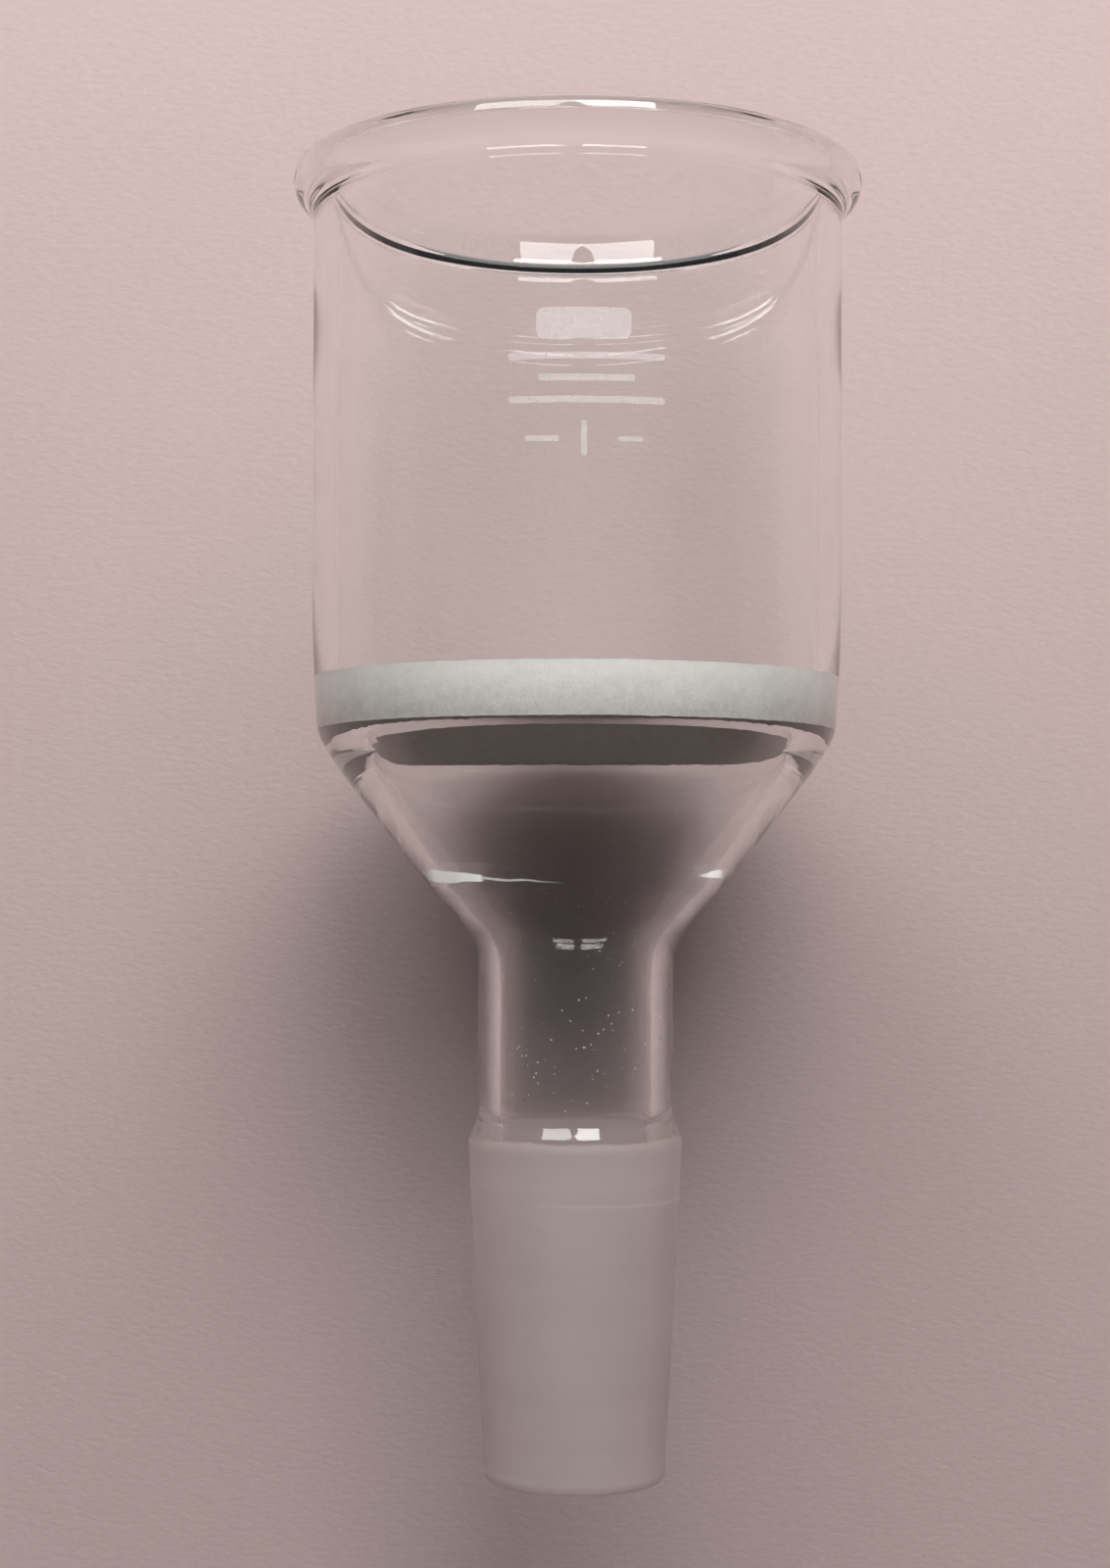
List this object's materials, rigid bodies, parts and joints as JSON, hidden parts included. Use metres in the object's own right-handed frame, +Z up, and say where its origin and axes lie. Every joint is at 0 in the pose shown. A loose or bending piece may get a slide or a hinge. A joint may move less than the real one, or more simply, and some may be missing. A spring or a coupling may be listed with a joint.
{
  "type": "buchner funnel",
  "caption": "Clear glass filter funnel: straight cylindrical bowl with a flared bead rim, fused porous disc, cone, short stem and frosted ground taper joint.",
  "frame": {"origin": "centre of the lower end face of the ground joint", "axes": "+Z up the funnel's axis towards the mouth of the bowl, -Y towards the enamel marks"},
  "size_m": [0.0644, 0.0644, 0.1486],
  "materials": {
    "clear_glass": "clear, fire polished borosilicate glass",
    "ground_glass": "matt, fine ground glass",
    "sintered_glass": "matt, porous sintered glass",
    "enamel": "thin fired white enamel"
  },
  "bodies": {
    "root": {"bowl_tube": "clear_glass", "lower_cone": "clear_glass", "stem_tube": "clear_glass", "ground_joint": "ground_glass", "sintered_disc": "sintered_glass", "marking_patch": "enamel", "mark_bar_top": "enamel", "mark_bar_middle": "enamel", "mark_bar_bottom": "enamel", "mark_dash_left": "enamel", "mark_dash_right": "enamel", "mark_tick": "enamel"}
  },
  "joints": []
}
